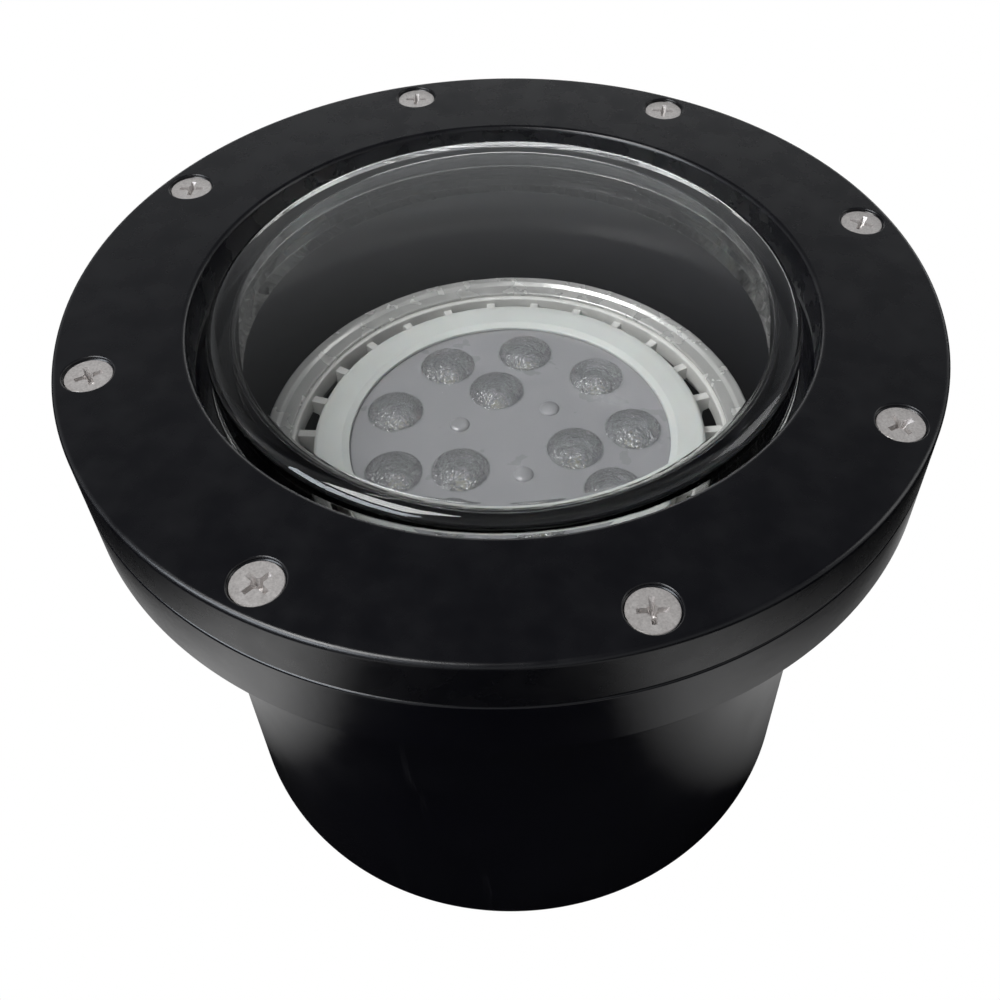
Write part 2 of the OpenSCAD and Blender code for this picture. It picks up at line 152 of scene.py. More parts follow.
def outline(*corners, steps=6):
    """A closed outline through (x, z, fillet) corners, each fillet drawn as an arc."""
    points = []
    for i, (x, z, fillet) in enumerate(corners):
        here = Vector((x, z))
        if not fillet:
            points.append((x, z))
            continue
        back = (Vector(corners[i - 1][:2]) - here).normalized()
        on = (Vector(corners[(i + 1) % len(corners)][:2]) - here).normalized()
        half = back.angle(on) / 2
        centre = here + (back + on).normalized() * fillet / math.sin(half)
        start = here + back * fillet / math.tan(half) - centre
        end = here + on * fillet / math.tan(half) - centre
        a0 = math.atan2(start.y, start.x)
        sweep = (math.atan2(end.y, end.x) - a0 + math.pi) % (2 * math.pi) - math.pi
        turn = [a0 + sweep * k / steps for k in range(steps + 1)]
        points += [(centre.x + fillet * math.cos(a), centre.y + fillet * math.sin(a)) for a in turn]
    return points


def hexagon(across, limit=1e9):
    """The radius of a hexagon at an angle, trimmed to a circle of radius limit."""
    def radius(a):
        off = (a + math.pi / 6) % (math.pi / 3) - math.pi / 6
        return min(across / 2 / math.cos(off), limit)
    return radius


# ---- Meshes ----

def as_object(name, bm):
    """A new object made of a bmesh, with its faces turned outwards."""
    bmesh.ops.recalc_face_normals(bm, faces=bm.faces)
    mesh = bpy.data.meshes.new(name)
    bm.to_mesh(mesh)
    bm.free()
    obj = bpy.data.objects.new(name, mesh)
    bpy.context.scene.collection.objects.link(obj)
    return obj


def skin(bm, low, high):
    """Joins two rings of points, either of which may be a single point on the axis."""
    count = max(len(low), len(high))
    if count == 1:
        return
    for k in range(count):
        corners = [low[k % len(low)], low[(k + 1) % len(low)],
                   high[(k + 1) % len(high)], high[k % len(high)]]
        bm.faces.new(list(dict.fromkeys(corners)))


def lathe(name, points, segments=192, closed=True):
    """Turns an outline of (radius, z) points round the axis. A radius may be a function of the
    angle. An open outline starts and ends on the axis."""
    bm = bmesh.new()
    rings = []
    for r, z in points:
        if not callable(r) and abs(r) < 1e-6:
            rings.append([bm.verts.new((0, 0, z * MM))])
            continue
        ring = []
        for k in range(segments):
            a = 2 * math.pi * k / segments
            out = (r(a) if callable(r) else r) * MM
            ring.append(bm.verts.new((out * math.cos(a), out * math.sin(a), z * MM)))
        rings.append(ring)
    for low, high in zip(rings, rings[1:] + rings[:1] if closed else rings[1:]):
        skin(bm, low, high)
    return as_object(name, bm)


def post(name, r, z0, z1, segments=64, edge=0.0):
    """A solid cylinder, with a rounded edge if one is given."""
    points = outline((0, z0, 0), (r, z0, edge), (r, z1, edge), (0, z1, 0))
    return lathe(name, points, segments, closed=False)


def slab(name, low, high, bevel=0.0):
    """A box between two corners in millimetres, its edges rounded by a bevel."""
    bm = bmesh.new()
    bmesh.ops.create_cube(bm, size=1)
    size = Vector(high) - Vector(low)
    centre = (Vector(high) + Vector(low)) / 2
    bm.transform(Matrix.Translation(centre * MM) @ Matrix.Diagonal((*(size * MM), 1)))
    if bevel:
        bmesh.ops.bevel(bm, geom=bm.edges[:], offset=bevel * MM, segments=3, profile=0.5,
                        affect="EDGES")
    return as_object(name, bm)


def extrude(name, points, width):
    """A closed outline of (x, z) points, extruded along Y to both sides of the middle."""
    bm = bmesh.new()
    sides = [[bm.verts.new((x * MM, y * MM, z * MM)) for x, z in points]
             for y in (-width / 2, width / 2)]
    for k in range(len(points)):
        n = (k + 1) % len(points)
        bm.faces.new((sides[0][k], sides[0][n], sides[1][n], sides[1][k]))
    for side in sides:
        bm.faces.new(side)
    return as_object(name, bm)


def moved(obj, *matrices):
    """Bakes movements into the mesh, the first one given acting last."""
    for m in reversed(matrices):
        obj.data.transform(m)
    return obj


def shift(x, y, z):
    return Matrix.Translation(Vector((x, y, z)) * MM)


def spin(angle, axis="Z"):
    return Matrix.Rotation(angle, 4, axis)


def join(name, objects):
    """Makes one object of several, keeping their meshes."""
    bm = bmesh.new()
    for obj in objects:
        bm.from_mesh(obj.data)
        bpy.data.objects.remove(obj)
    mesh = bpy.data.meshes.new(name)
    bm.to_mesh(mesh)
    bm.free()
    joined = bpy.data.objects.new(name, mesh)
    bpy.context.scene.collection.objects.link(joined)
    return joined


def copies(name, obj, matrices):
    """Makes one object of copies of a piece, one for each matrix."""
    parts = []
    for m in matrices:
        part = bpy.data.objects.new(name, obj.data.copy())
        part.data.transform(m)
        parts.append(part)
    bpy.data.objects.remove(obj)
    return join(name, parts)


def boolean(obj, other, operation="DIFFERENCE"):
    """Cuts or adds other to obj, exactly, and deletes other."""
    step = obj.modifiers.new("boolean", "BOOLEAN")
    step.operation = operation
    step.solver = "EXACT"
    step.object = other
    graph = bpy.context.evaluated_depsgraph_get()
    mesh = bpy.data.meshes.new_from_object(obj.evaluated_get(graph))
    obj.modifiers.clear()
    obj.data = mesh
    bpy.data.objects.remove(other)
    return obj


def round_matrices(count, radius, phase=0.0, z=0.0):
    """Places round the axis, each turned to face outwards along its own X."""
    return [spin(phase + 2 * math.pi * k / count) @ shift(radius, 0, z) for k in range(count)]


def on_gland(obj):
    """Lays a piece that was drawn along +Z onto the gland's axis, along +Y."""
    return moved(obj, shift(0, 0, GLAND_Z), spin(-math.pi / 2, "X"))


def on_pivots(name, obj):
    """Two copies of a piece drawn along +Z, laid outwards along the lamp's pivots."""
    turn = spin(math.pi / 2, "Y")
    return copies(name, obj, [shift(0, 0, PIVOT_Z) @ spin(a) @ turn for a in (0, math.pi)])


def finish_piece(obj, material, body, slot, *nodes, sharp=32):
    """Shades a piece, gives it its material and body, and hides the nodes it stands for. Its slot
    argument is not used.
    """
    obj.data.materials.clear()
    obj.data.materials.append(material)
    obj.data.shade_smooth()
    obj.data.set_sharp_from_angle(angle=math.radians(sharp))
    weigh = obj.modifiers.new("even faces", "WEIGHTED_NORMAL")
    weigh.keep_sharp = True
    weigh.weight = 80
    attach(obj, body)
    if nodes:
        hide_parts(*nodes)
    return obj


# ---- Materials ----

class Finish:
    """A Principled material with the textures that drive it. Texture sizes are per metre."""

    def __init__(self, name, colour, roughness, **sockets):
        self.material = bpy.data.materials.new(name)
        self.material.use_nodes = True
        self.tree = self.material.node_tree
        self.shader = self.tree.nodes["Principled BSDF"]
        self.set(self.shader, "Base Color", (*colour, 1))
        self.set(self.shader, "Roughness", roughness)
        for socket, value in sockets.items():
            self.set(self.shader, socket.replace("_", " "), value)
        self.place = self.tree.nodes.new("ShaderNodeTexCoord").outputs["Object"]
        self.relief = None

    def set(self, node, socket, value):
        if isinstance(value, bpy.types.NodeSocket):
            self.tree.links.new(value, node.inputs[socket])
        else:
            node.inputs[socket].default_value = value

    def node(self, kind, output=0, **sockets):
        node = self.tree.nodes.new(kind)
        for socket, value in sockets.items():
            self.set(node, socket.replace("_", " "), value)
        return node.outputs[output]

    def stretched(self, stretch):
        """Object coordinates scaled by a different factor along each axis."""
        return self.node("ShaderNodeMapping", Vector=self.place, Scale=stretch)

    def noise(self, scale, detail=3, stretch=None, roughness=0.5):
        where = self.stretched(stretch) if stretch else self.place
        return self.node("ShaderNodeTexNoise", Vector=where, Scale=scale, Detail=detail,
                         Roughness=roughness)

    def cells(self, scale):
        return self.node("ShaderNodeTexVoronoi", Vector=self.place, Scale=scale)

    def band(self, value, low, high, out_low=0.0, out_high=1.0):
        """Maps a value from one range onto another, and holds it at the ends."""
        node = self.tree.nodes.new("ShaderNodeMapRange")
        for socket, number in zip(("Value", "From Min", "From Max", "To Min", "To Max"),
                                  (value, low, high, out_low, out_high)):
            self.set(node, socket, number)
        return node.outputs["Result"]

    def mix(self, factor, a, b):
        """A colour between a and b."""
        node = self.tree.nodes.new("ShaderNodeMix")
        node.data_type = "RGBA"
        self.set(node, "Factor", factor)
        for index, colour in ((6, a), (7, b)):
            if isinstance(colour, bpy.types.NodeSocket):
                self.tree.links.new(colour, node.inputs[index])
            else:
                node.inputs[index].default_value = (*colour, 1)
        return node.outputs[2]

    def colour(self, value):
        self.set(self.shader, "Base Color", value)
        return value

    def rough(self, value):
        self.set(self.shader, "Roughness", value)
        return self

    def bump(self, height, distance, strength=1.0):
        """Adds a relief of the given depth in metres over any that is already there."""
        node = self.tree.nodes.new("ShaderNodeBump")
        node.inputs["Height"].default_value = 0
        self.set(node, "Height", height)
        self.set(node, "Distance", distance)
        self.set(node, "Strength", strength)
        if self.relief:
            self.tree.links.new(self.relief, node.inputs["Normal"])
        self.relief = node.outputs["Normal"]
        self.tree.links.new(self.relief, self.shader.inputs["Normal"])
        return self


def moulded_black():
    """Glossy black moulded plastic, with faint flow marks, smudges and hairline scuffs."""
    f = Finish("moulded_black", (0.003, 0.003, 0.005), 0.2, IOR=1.5)
    cloud = f.noise(18, 5)
    tint = f.mix(f.band(cloud, 0.35, 0.7), (0.0015, 0.0015, 0.0036), (0.0035, 0.0035, 0.0062))
    scuff = f.band(f.noise(260, 6, stretch=(1, 1, 0.08)), 0.66, 0.74)
    dust = f.band(f.noise(2200, 2), 0.76, 0.8, 0, 0.5)
    tint = f.mix(f.band(scuff, 0, 1, 0, 0.2), tint, (0.03, 0.03, 0.034))
    f.colour(f.mix(dust, tint, (0.04, 0.04, 0.04)))
    f.rough(f.band(f.noise(55, 6), 0.3, 0.75, 0.15, 0.27))
    f.bump(f.noise(420, 4), 0.00002).bump(f.noise(30, 2), 0.00012)
    return f.material


def satin_black():
    """Satin black composite of the clamp ring: finely grained, a little lighter where rubbed."""
    f = Finish("satin_black", (0.004, 0.004, 0.006), 0.27, IOR=1.47)
    rub = f.band(f.noise(70, 6), 0.45, 0.75, 0, 0.6)
    tint = f.mix(rub, (0.0028, 0.0028, 0.0045), (0.005, 0.005, 0.007))
    fleck = f.band(f.noise(3000, 2), 0.77, 0.82, 0, 0.3)
    f.colour(f.mix(fleck, tint, (0.035, 0.035, 0.035)))
    f.rough(f.band(f.noise(140, 5), 0.3, 0.7, 0.22, 0.33))
    f.bump(f.noise(5200, 2), 0.000008).bump(f.noise(90, 3), 0.00003)
    return f.material


def clear_glass():
    """Cast borosilicate glass. Rays from lamps pass straight through it."""
    f = Finish("clear_glass", (0.97, 0.972, 0.968), 0.0, IOR=1.5, Transmission_Weight=1.0)
    f.bump(f.noise(60, 2), 0.000012)
    through = f.tree.nodes.new("ShaderNodeBsdfTransparent")
    through.inputs["Color"].default_value = (0.89, 0.9, 0.9, 1)
    choose = f.tree.nodes.new("ShaderNodeMixShader")
    f.tree.links.new(f.node("ShaderNodeLightPath", "Is Shadow Ray"), choose.inputs[0])
    f.tree.links.new(f.shader.outputs[0], choose.inputs[1])
    f.tree.links.new(through.outputs[0], choose.inputs[2])
    f.tree.links.new(choose.outputs[0], f.tree.nodes["Material Output"].inputs["Surface"])
    return f.material


def screw_steel():
    """Blasted stainless steel of the screw heads, with turning marks."""
    f = Finish("screw_steel", (0.6, 0.57, 0.56), 0.36, Metallic=0.45)
    grain = f.noise(2600, 4)
    f.colour(f.mix(f.band(grain, 0.3, 0.7), (0.5, 0.475, 0.465), (0.7, 0.67, 0.655)))
    f.rough(f.band(f.noise(700, 4), 0.3, 0.7, 0.28, 0.46))
    f.bump(grain, 0.00003)
    return f.material


def sheet_steel():
    """Cold-rolled stainless strip with fine lines along it."""
    f = Finish("sheet_steel", (0.52, 0.52, 0.52), 0.3, Metallic=1.0)
    lines = f.noise(900, 4, stretch=(0.03, 1, 0.03))
    f.colour(f.mix(lines, (0.42, 0.42, 0.42), (0.62, 0.62, 0.61)))
    f.rough(f.band(lines, 0.3, 0.7, 0.22, 0.42))
    f.bump(lines, 0.00001)
    return f.material


def polished_steel():
    """Bright coated steel of the lamp's ring, slightly uneven."""
    f = Finish("polished_steel", (0.6, 0.595, 0.58), 0.2, Metallic=0.5)
    f.rough(f.band(f.noise(150, 5), 0.3, 0.7, 0.16, 0.34))
    f.bump(f.noise(70, 3), 0.00006).bump(f.noise(1200, 3, stretch=(1, 1, 6)), 0.00001)
    return f.material


def plated_brass():
    f = Finish("plated_brass", (0.66, 0.48, 0.2), 0.28, Metallic=1.0)
    grain = f.noise(1400, 4)
    f.colour(f.mix(f.noise(90, 4), (0.56, 0.39, 0.15), (0.74, 0.56, 0.27)))
    f.rough(f.band(grain, 0.3, 0.7, 0.2, 0.42))
    f.bump(grain, 0.00001)
    return f.material


def tinned_copper():
    f = Finish("tinned_copper", (0.6, 0.58, 0.54), 0.34, Metallic=1.0)
    f.colour(f.mix(f.noise(400, 4), (0.5, 0.47, 0.43), (0.68, 0.66, 0.63)))
    f.rough(f.band(f.noise(900, 4), 0.3, 0.7, 0.25, 0.5))
    return f.material


def black_rubber():
    f = Finish("black_rubber", (0.012, 0.012, 0.012), 0.6)
    f.colour(f.mix(f.noise(120, 5), (0.008, 0.008, 0.008), (0.02, 0.02, 0.021)))
    f.rough(f.band(f.noise(300, 4), 0.3, 0.7, 0.5, 0.75))
    f.bump(f.noise(2600, 3), 0.00002)
    return f.material


def black_nylon():
    f = Finish("black_nylon", (0.012, 0.012, 0.013), 0.45)
    f.colour(f.mix(f.noise(200, 4), (0.009, 0.009, 0.01), (0.018, 0.018, 0.02)))
    f.rough(f.band(f.noise(500, 4), 0.3, 0.7, 0.36, 0.55))
    f.bump(f.noise(1800, 3), 0.000015)
    return f.material


def pale_nylon():
    f = Finish("pale_nylon", (0.72, 0.71, 0.66), 0.4, Subsurface_Weight=0.15)
    f.colour(f.mix(f.noise(150, 4), (0.66, 0.65, 0.59), (0.78, 0.77, 0.72)))
    f.rough(f.band(f.noise(500, 3), 0.3, 0.7, 0.34, 0.5))
    return f.material


def white_casting():
    """Powder-coated die casting of the lamp's body, mottled with patches of grey."""
    f = Finish("white_casting", (0.62, 0.63, 0.61), 0.5)
    shade = f.mix(f.noise(60, 5), (0.47, 0.465, 0.45), (0.62, 0.615, 0.595))
    f.colour(f.mix(f.band(f.noise(700, 3), 0.62, 0.75, 0, 0.4), shade, (0.42, 0.43, 0.42)))
    f.rough(f.band(f.noise(240, 4), 0.3, 0.7, 0.4, 0.6))
    f.bump(f.noise(1500, 3), 0.00004).bump(f.noise(120, 3), 0.00012)
    return f.material


def bezel_white():
    """Matte white plastic of the bezel, faintly marbled."""
    f = Finish("bezel_white", (0.7, 0.7, 0.68), 0.5, Subsurface_Weight=0.1)
    f.colour(f.mix(f.noise(45, 5), (0.47, 0.46, 0.44), (0.61, 0.6, 0.575)))
    f.rough(f.band(f.noise(300, 4), 0.3, 0.7, 0.42, 0.58))
    f.bump(f.noise(160, 4), 0.00008)
    return f.material


def optic_plate():
    """Smooth hazy front of the optic over its white board."""
    f = Finish("optic_plate", (0.36, 0.365, 0.38), 0.3, Coat_Weight=0.6, Coat_Roughness=0.08)
    f.colour(f.mix(f.noise(35, 3), (0.23, 0.228, 0.238), (0.3, 0.298, 0.31)))
    f.rough(f.band(f.noise(120, 3), 0.3, 0.7, 0.25, 0.4))
    f.bump(f.noise(40, 2), 0.00006)
    return f.material


def optic_clear():
    """Clear acrylic of the emitter lenses, pebbled all over."""
    f = Finish("optic_clear", (0.85, 0.855, 0.875), 0.27, IOR=1.49, Transmission_Weight=0.9,
               Coat_Weight=1.0, Coat_Roughness=0.04)
    f.bump(f.cells(1100), 0.0004, 0.9)
    f.set(f.shader, "Coat Normal", f.relief)
    return f.material


def optic_mirror():
    """The faceted walls of the collimators, which throw light back like a mirror."""
    f = Finish("optic_mirror", (0.5, 0.5, 0.52), 0.3, Metallic=0.5)
    f.colour(f.mix(f.band(f.cells(1200), 0.1, 0.6), (0.6, 0.605, 0.62), (0.28, 0.28, 0.295)))
    f.rough(f.band(f.noise(900, 3), 0.3, 0.7, 0.2, 0.4))
    f.bump(f.cells(1300), 0.0003, 0.7)
    return f.material


def phosphor():
    f = Finish("phosphor", (0.6, 0.55, 0.36), 0.35, Coat_Weight=0.5)
    f.colour(f.mix(f.noise(900, 4), (0.55, 0.5, 0.32), (0.66, 0.61, 0.42)))
    return f.material


def circuit_board(name, resist, copper):
    """Solder resist over copper areas, which show as slightly different, raised patches."""
    f = Finish(name, resist, 0.3, Coat_Weight=0.4)
    tracks = f.band(f.cells(160), 0.32, 0.34)
    f.colour(f.mix(tracks, resist, copper))
    f.rough(f.band(f.noise(600, 3), 0.3, 0.7, 0.26, 0.4))
    f.bump(tracks, 0.00003)
    return f.material


def grey_pad():
    f = Finish("grey_pad", (0.3, 0.31, 0.33), 0.8)
    f.colour(f.mix(f.noise(1200, 3), (0.25, 0.26, 0.28), (0.36, 0.37, 0.39)))
    return f.material


def component_plastic():
    f = Finish("component_plastic", (0.02, 0.02, 0.025), 0.35)
    f.colour(f.mix(f.noise(140, 2), (0.015, 0.015, 0.02), (0.04, 0.045, 0.06)))
    f.rough(f.band(f.noise(900, 3), 0.3, 0.7, 0.3, 0.5))
    return f.material


def lead_skin(name, dark, light):
    """Soft insulation of a lead, slightly mottled."""
    f = Finish(name, dark, 0.4)
    f.colour(f.mix(f.noise(500, 4), dark, light))
    f.rough(f.band(f.noise(700, 3), 0.3, 0.7, 0.32, 0.5))
    f.bump(f.noise(2500, 2), 0.00001)
    return f.material


POT = moulded_black()
RING = satin_black()
CLEAR = clear_glass()
SCREW = screw_steel()
SHEET = sheet_steel()
SHINE = polished_steel()
BRASS = plated_brass()
TINNED = tinned_copper()
RUBBER = black_rubber()
NYLON = black_nylon()
PALE = pale_nylon()
CASTING = white_casting()
BEZEL = bezel_white()
PLATE = optic_plate()
ACRYLIC = optic_clear()
MIRROR = optic_mirror()
PHOSPHOR = phosphor()
LED_BOARD = circuit_board("white_board", (0.7, 0.7, 0.68), (0.78, 0.78, 0.77))
GREEN_BOARD = circuit_board("green_board", (0.012, 0.12, 0.035), (0.03, 0.22, 0.06))
PAD = grey_pad()
COMPONENT = component_plastic()
RED_LEAD = lead_skin("red_lead", (0.3, 0.012, 0.012), (0.42, 0.02, 0.02))
BLACK_LEAD = lead_skin("black_lead", (0.012, 0.012, 0.012), (0.025, 0.025, 0.025))


# ---- Housing ----

def screw_holes(name, radius, z0, z1, flare=0.0):
    """Cutters for the round of screw holes. A flare rounds the mouth at z1."""
    points = [(0, z0), (radius, z0)]
    if flare:
        points += [(radius + flare - flare * math.cos(math.radians(t)),
                    z1 - flare + flare * math.sin(math.radians(t))) for t in range(0, 91, 18)]
    else:
        points.append((radius, z1))
    points += [(points[-1][0], z1 + 2), (0, z1 + 2)]
    hole = lathe(name, points, 48, closed=False)
    return copies(name, hole, round_matrices(SCREWS, SCREW_R, SCREW_PHASE))


def housing():
    """The pot: body, flange, lens seat, seal groove, floor boss and the gland's flat pad."""
    pot = lathe("housing_shell", outline(
        (0, 0, 0), (BODY_R, 0, 2.5), (BODY_R, FLANGE_LOW, 2), (FLANGE_R, FLANGE_LOW, 0.7),
        (FLANGE_R, SEAM, 0.6), (GROOVE_R + 1.5, SEAM, 0.2), (GROOVE_R + 1.5, SEAM - 2.2, 0.2),
        (GROOVE_R - 1.5, SEAM - 2.2, 0.2), (GROOVE_R - 1.5, SEAM, 0.2), (RECESS_R, SEAM, 0.3),
        (RECESS_R, SEAT, 0.4), (INNER_R, SEAT, 0.8), (INNER_R, FLOOR, 3), (BOSS_R, FLOOR, 1),
        (BOSS_R, BOSS_TOP, 0.5), (0, BOSS_TOP, 0)), 256, closed=False)
    pads = [post("outer_pad", 16, INNER_R - 1, GLAND_FACE, edge=0.7),
            post("inner_pad", 12.5, GLAND_INNER, INNER_R + 2, edge=0.7)]
    for pad in pads:
        boolean(pot, on_gland(pad), "UNION")
    boolean(pot, on_gland(post("gland_hole", 8, GLAND_INNER - 5, GLAND_FACE + 5)))
    boolean(pot, screw_holes("insert_holes", 3.5, SEAM - 11, SEAM, flare=0.25))
    boolean(pot, post("yoke_hole", 3.25, BOSS_TOP - 7, BOSS_TOP + 2))
    return finish_piece(pot, POT, "housing", "housing", "housing")


def seals():
    """The O-ring in the flange's groove, and the two flat gaskets that hold the lens."""
    circle = arc(GROOVE_R, bottom("flange_seal") + SEAL_R, SEAL_R, 0, 360 * 23 / 24, 23)
    ring = lathe("flange_o_ring", circle, 192)
    finish_piece(ring, RUBBER, "housing", "black_rubber", "flange_seal")
    for node, body, inner in (("lens_gasket_lower", "housing", INNER_R + 0.3),
                              ("lens_gasket_upper", "cover", OPENING_R + 0.3)):
        low, high, out = bottom(node), top(node), reach(node)
        gasket = lathe(node + "_sheet", outline((inner, low, 0.25), (out, low, 0.25),
                                                (out, high, 0.25), (inner, high, 0.25)), 192)
        finish_piece(gasket, RUBBER, body, "black_rubber", node)


# ---- Cable gland ----

def hex_outline(across, bore, z0, z1, chamfer=1.4):
    """The outline of a hexagonal nut with chamfered corners and a bore."""
    flat, corner = across / 2, across / 2 / math.cos(math.pi / 6)
    rise = [(k / 5) for k in range(6)]
    low = [(hexagon(across, flat * 0.97 + (corner - flat * 0.97) * t), z0 + chamfer * t * t)
           for t in rise]
    high = [(r, z0 + z1 - z) for r, z in reversed(low)]
    return low + high + [(bore, z1), (bore, z0)]


def gland():
    washer = lathe("gland_washer_ring", outline(
        (8, GLAND_FACE, 0.2), (11.5, GLAND_FACE, 0.4), (11.5, GLAND_FACE + 1.5, 0.4),
        (8, GLAND_FACE + 1.5, 0.2)), 96)
    finish_piece(on_gland(washer), RUBBER, "housing", "black_rubber", "gland_washer")
    hex_low, hex_high = GLAND_FACE + 1.6, GLAND_FACE + 7
    pitch, neck_bore, neck_top = 1.5, 6, hex_high + 8
    collar = lathe("gland_collar", hex_outline(GLAND_HEX, neck_bore, hex_low, hex_high, 1.0), 144)
    shank = thread("gland_shank", 7.9, pitch, GLAND_INNER - 5.5, hex_low + 0.5, bore=4.2,
                   depth=0.45)
    neck = thread("gland_neck", 7.5, pitch, hex_high - 0.5, neck_top, bore=neck_bore, depth=0.4)
    moulding = join("gland_body_moulding", [collar, shank, neck])
    finish_piece(on_gland(moulding), NYLON, "housing", "gland_nylon", "gland_body")
    locknut = lathe("gland_locknut_hex", hex_outline(
        GLAND_HEX, 7.95, GLAND_INNER - 4, GLAND_INNER - 0.05, 0.8), 144)
    finish_piece(on_gland(locknut), NYLON, "housing", "gland_nylon", "gland_locknut")
    seal_r, seal_low = 5.9, GLAND_FACE + 2.7
    sleeve = lathe("gland_sleeve", outline(
        (CABLE_R, seal_low, 0.3), (seal_r, seal_low, 0.3), (seal_r, neck_top, 0.6),
        (CABLE_R, neck_top, 0.6)), 96)
    finish_piece(on_gland(sleeve), RUBBER, "housing", "black_rubber", "gland_seal")
    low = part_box("gland_nut")[0].y / MM
    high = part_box("gland_nut")[1].y / MM
    bore, mouth, ceiling = 7.6, 4.4, high - 5.2
    nut_outline = hex_outline(GLAND_HEX, bore, low, high - 5, 1.2)[:-2]
    nut_outline += [(9.4, high - 4.9)] + arc(5.9, high - 3.4, 3.4, 15, 90, 6)
    nut_outline += [(4.9, high), (mouth, high - 0.5), (mouth, ceiling), (bore, ceiling),
                    (bore, low)]
    nut = lathe("gland_cap_nut", nut_outline, 144)
    finish_piece(on_gland(nut), NYLON, "gland_nut", "gland_nylon", "gland_nut")


def thread(name, r, pitch, z0, z1, bore=0.0, depth=0.35, segments=36):
    """A threaded rod or tube: its surface rises and falls along a helix."""
    steps = max(2, round((z1 - z0) / pitch * 8))

    def crest(z):
        fade = min(1, (z - z0) / pitch, (z1 - z) / pitch)
        return lambda a: r - depth * fade * abs(((z / pitch - a / (2 * math.pi)) % 1) * 2 - 1)

    skin_points = [(crest(z0 + (z1 - z0) * k / steps), z0 + (z1 - z0) * k / steps)
                   for k in range(steps + 1)]
    if bore:
        return lathe(name, skin_points + [(bore, z1), (bore, z0)], segments)
    return lathe(name, [(0, z0)] + skin_points + [(0, z1)], segments, closed=False)


# ---- Cover ----

def cover_ring():
    """The clamp ring, with rounded edges and countersunk holes whose mouths are eased."""
    ring = lathe("cover_ring_disc", outline(
        (OPENING_R, REBATE, 0.4), (OPENING_R, RING_TOP, 1.1), (FLANGE_R, RING_TOP, 1.1),
        (FLANGE_R, RING_LOW, 0.5), (RECESS_R, RING_LOW, 0.3), (RECESS_R, REBATE, 0.3)), 256)
    cone_low = SCREW_TOP - SINK_R + CLEAR_R
    ease = 0.3
    mouth = [(SINK_R + ease - ease * math.cos(math.radians(t)),
              RING_TOP - ease + ease * math.sin(math.radians(t))) for t in range(0, 91, 18)]
    sink = lathe("sink", [(0, RING_LOW - 2), (CLEAR_R, RING_LOW - 2), (CLEAR_R, cone_low),
                          (SINK_R, SCREW_TOP)] + mouth
                 + [(mouth[-1][0], RING_TOP + 2), (0, RING_TOP + 2)], 64, closed=False)
    boolean(ring, copies("sinks", sink, round_matrices(SCREWS, SCREW_R, SCREW_PHASE)))
    return finish_piece(ring, RING, "cover", "cover_ring", "cover_ring")


def cross_recess(obj, size, depth, z=0.0):
    """Cuts the recess of a Phillips screw into a head whose top lies at z."""
    for turn in (0, math.pi / 2):
        bm = bmesh.new()
        rows = []
        for level, far, half in ((0.4, size, 0.19 * size), (0, size, 0.19 * size),
                                 (-depth * 0.6, 0.7 * size, 0.16 * size),
                                 (-depth, 0.3 * size, 0.11 * size)):
            corners = ((-far, -half), (far, -half), (far, half), (-far, half))
            rows.append([bm.verts.new(Vector((x, y, level)) * MM) for x, y in corners])
        for low, high in zip(rows, rows[1:]):
            skin(bm, low, high)
        bm.faces.new(rows[0])
        bm.faces.new(rows[-1])
        boolean(obj, moved(as_object("wing", bm), shift(0, 0, z), spin(turn)))
    cone = lathe("cone", [(0, 0.4), (0.4 * size, 0.4), (0.4 * size, 0), (0.2 * size, -depth),
                          (0, -depth - 0.3)], 32, closed=False)
    return boolean(obj, moved(cone, shift(0, 0, z)))


def cover_screws():
    """Countersunk Phillips screws, each turned its own way, with cut threads."""
    rng = random.Random(4)
    cone_end = -HEAD_LAND - (HEAD_R - SHANK_R)
    head = lathe("screw", [(0, cone_end), (SHANK_R, cone_end), (HEAD_R, -HEAD_LAND), (HEAD_R, -0.12),
                           (HEAD_R - 0.12, 0), (HEAD_R - 0.5, 0.0), (0, 0.0)], 64, closed=False)
    cross_recess(head, 2.75, 2.3)
    shank = thread("shank", SHANK_R, 0.8, -20, cone_end + 0.1, depth=0.3, segments=28)
    screw = join("screw", [head, shank])
    places = [m @ spin(rng.uniform(0, math.pi)) for m in
              round_matrices(SCREWS, SCREW_R, SCREW_PHASE, SCREW_TOP)]
    screws = copies("cover_screw_set", screw, places)
    return finish_piece(screws, SCREW, "cover", "stainless_fasteners", "cover_screws")


def lens():
    """The glass: a shallow dome that turns through a tight shoulder into a wall and a flange."""
    ball_z = LENS_TOP - DOME_BALL

    def shoulder(wall_r, ball, fillet):
        """The dome from its crown, then the fillet that brings it onto the wall."""
        x = wall_r - fillet
        z = ball_z + math.sqrt((ball - fillet) ** 2 - x * x)
        meet = math.degrees(math.atan2(z - ball_z, x))
        return arc(0, ball_z, ball, 90, meet, 28) + arc(x, z, fillet, meet, 0, 12)[1:]

    outer = shoulder(DOME_R, DOME_BALL, 3.4)
    inner = shoulder(DOME_INNER_R, DOME_BALL - GLASS, 1.6)
    foot = arc(DOME_R + 0.8, LENS_SHELF + 0.8, 0.8, 180, 270, 5)
    rim = arc(LENS_R - 1, LENS_SHELF - 1, 1, 90, 0, 6) + arc(LENS_R - 1, LENS_LOW + 1, 1, 0, -90, 6)
    base = arc(BASE_INNER_R + 0.6, LENS_LOW + 0.6, 0.6, 270, 180, 5)
    glass = lathe("lens_glass", outer + foot + rim + base + inner[::-1], 256, closed=False)
    return finish_piece(glass, CLEAR, "cover", "lens", "lens", sharp=60)


# ---- Yoke ----

